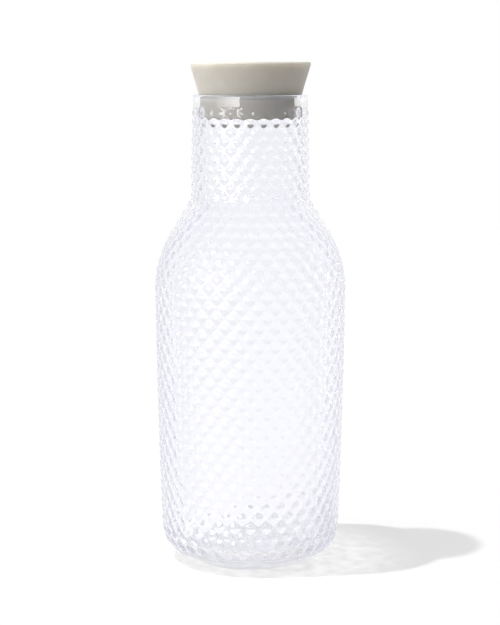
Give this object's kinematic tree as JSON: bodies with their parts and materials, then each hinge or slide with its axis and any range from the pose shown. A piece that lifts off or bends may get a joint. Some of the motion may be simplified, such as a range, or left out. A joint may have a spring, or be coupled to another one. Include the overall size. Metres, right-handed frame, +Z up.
{
  "type": "carafe",
  "caption": "Clear glass carafe with a beaded neck, shoulder and body, and a flared soft grey stopper that lifts out of the mouth.",
  "frame": {"origin": "middle of the ring face that the carafe stands on", "axes": "+Z up along the carafe's axis, from the foot to the stopper; the carafe is round, so X and Y lie level in any direction"},
  "size_m": [0.102, 0.102, 0.266],
  "materials": {
    "clear_glass": "clear pressed glass with a faint lavender tint at its edges",
    "grey_silicone": "matte soft silicone, warm grey",
    "seal_silicone": "soft silicone, pale grey",
    "grey_plastic": "matte moulded plastic, warm grey"
  },
  "bodies": {
    "carafe": {"carafe_body": "clear_glass"},
    "stopper": {"stopper_cap": "grey_silicone", "sealing_ring": "seal_silicone", "stopper_plug": "grey_plastic"}
  },
  "joints": [
    {"name": "stopper_lift", "type": "slide", "parent": "carafe", "child": "stopper", "axis": [0, 0, 1], "range_m": [0, 0.04]}
  ]
}
